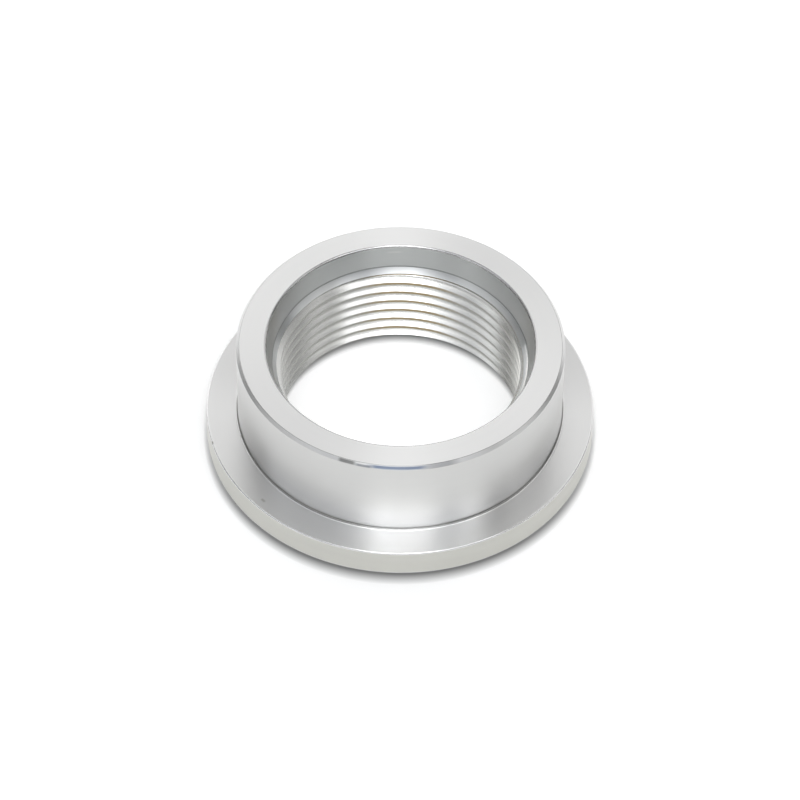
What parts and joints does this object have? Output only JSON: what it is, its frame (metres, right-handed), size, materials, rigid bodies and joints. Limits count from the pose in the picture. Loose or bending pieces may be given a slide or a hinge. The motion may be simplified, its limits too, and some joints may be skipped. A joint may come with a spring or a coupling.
{
  "type": "weld-on bung",
  "caption": "Turned aluminium weld-on bung: a wide flange, a plain barrel above it, and an open threaded port with a tapered seal seat at the barrel's end.",
  "frame": {"origin": "centre of the flange's bottom face, on the surface that the bung stands on", "axes": "+Z along the bore's axis, out of the port; the body is round about Z, so X and Y are free"},
  "size_m": [0.0635, 0.0634, 0.0198],
  "materials": {
    "aluminium": "bright satin, as turned"
  },
  "bodies": {
    "root": {"bung": "aluminium"}
  },
  "joints": []
}
